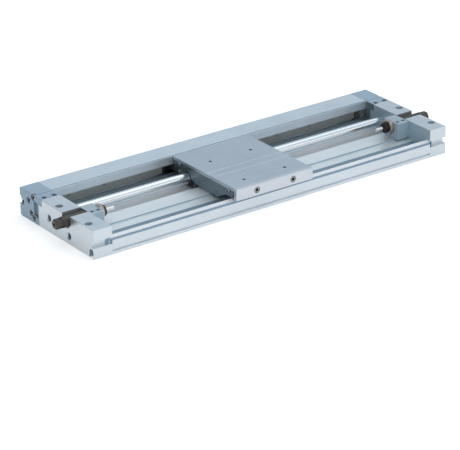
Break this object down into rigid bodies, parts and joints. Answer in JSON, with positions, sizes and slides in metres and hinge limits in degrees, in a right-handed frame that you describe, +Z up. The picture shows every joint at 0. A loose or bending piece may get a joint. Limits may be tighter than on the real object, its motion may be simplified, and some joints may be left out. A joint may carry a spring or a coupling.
{
  "type": "guided rodless cylinder",
  "caption": "Low rodless air cylinder with a magnetically driven table that slides along a polished tube between two end blocks, guided by a side rail and stopped by shock absorbers.",
  "frame": {"origin": "centre of the underside of the unit", "axes": "+X along the stroke, +Y from the open front to the rear guide housing, +Z up out of the table's top"},
  "size_m": [0.646, 0.193, 0.043],
  "materials": {
    "profile_aluminium": "satin clear anodised extrusion",
    "cover_aluminium": "satin clear anodised extrusion",
    "block_aluminium": "milled and clear anodised",
    "bracket_aluminium": "milled and clear anodised",
    "end_cover_grey": "blue grey anodised casting",
    "table_aluminium": "fine ground and anodised",
    "side_plate_aluminium": "satin anodised plate",
    "end_plate_grey": "dark blue grey plate",
    "housing_aluminium": "dark anodised",
    "tube_steel": "polished stainless tube",
    "rod_steel": "ground and polished",
    "nut_steel": "plated nut with a brown tint",
    "blackened_steel": "blackened threaded steel",
    "rail_steel": "dark ground steel",
    "screw_steel": "zinc plated",
    "magnet_alloy": "sintered magnet",
    "yoke_iron": "turned iron",
    "piston_aluminium": "turned",
    "black_rubber": "moulded rubber",
    "black_plastic": "moulded plastic"
  },
  "bodies": {
    "base": {"base_extrusion": "profile_aluminium", "top_cover": "cover_aluminium", "cylinder_tube": "tube_steel", "guide_rail": "rail_steel", "rail_screws": "blackened_steel", "left_end_block": "block_aluminium", "right_end_block": "block_aluminium", "left_end_cover": "end_cover_grey", "right_end_cover": "end_cover_grey", "left_cover_screws": "screw_steel", "right_cover_screws": "screw_steel", "left_tongue_screws": "screw_steel", "right_tongue_screws": "screw_steel", "left_absorber_bracket": "bracket_aluminium", "right_absorber_bracket": "bracket_aluminium", "left_bracket_screws": "screw_steel", "right_bracket_screws": "screw_steel", "left_absorber_body": "blackened_steel", "right_absorber_body": "blackened_steel", "left_absorber_locknut": "nut_steel", "right_absorber_locknut": "nut_steel", "left_tube_gasket": "black_rubber", "right_tube_gasket": "black_rubber", "left_rail_stop": "black_rubber", "right_rail_stop": "black_rubber"},
    "table": {"table_plate": "table_aluminium", "side_plate": "side_plate_aluminium", "side_plate_screws": "screw_steel", "magnet_housing": "housing_aluminium", "outer_magnets": "magnet_alloy", "outer_yokes": "yoke_iron", "carriage_arm": "housing_aluminium", "arm_screws": "screw_steel", "carriage_screws": "screw_steel", "switch_magnet": "magnet_alloy", "left_end_plate": "end_plate_grey", "right_end_plate": "end_plate_grey", "left_plate_screws": "screw_steel", "right_plate_screws": "screw_steel", "left_wear_ring": "black_plastic", "right_wear_ring": "black_plastic", "left_carriage": "rail_steel", "right_carriage": "rail_steel", "left_carriage_seals": "black_plastic", "right_carriage_seals": "black_plastic"},
    "piston": {"piston_shaft": "screw_steel", "inner_magnets": "magnet_alloy", "inner_yokes": "yoke_iron", "left_piston_head": "piston_aluminium", "right_piston_head": "piston_aluminium", "left_piston_seal": "black_rubber", "right_piston_seal": "black_rubber"},
    "left_rod": {"left_absorber_rod": "rod_steel"},
    "right_rod": {"right_absorber_rod": "rod_steel"}
  },
  "joints": [
    {"name": "table_slide", "type": "slide", "parent": "base", "child": "table", "axis": [1, 0, 0], "range_m": [-0.1527, 0.1723]},
    {"name": "piston_slide", "type": "slide", "parent": "base", "child": "piston", "axis": [1, 0, 0], "range_m": [-0.1527, 0.1723]},
    {"name": "left_rod_slide", "type": "slide", "parent": "base", "child": "left_rod", "axis": [-1, 0, 0], "range_m": [0, 0.012], "stiffness_N_per_m": 400, "springref_m": -0.005},
    {"name": "right_rod_slide", "type": "slide", "parent": "base", "child": "right_rod", "axis": [1, 0, 0], "range_m": [0, 0.012], "stiffness_N_per_m": 400, "springref_m": -0.005}
  ],
  "couplings": [
    {"joint": "piston_slide", "follows": "table_slide", "ratio": 1}
  ]
}
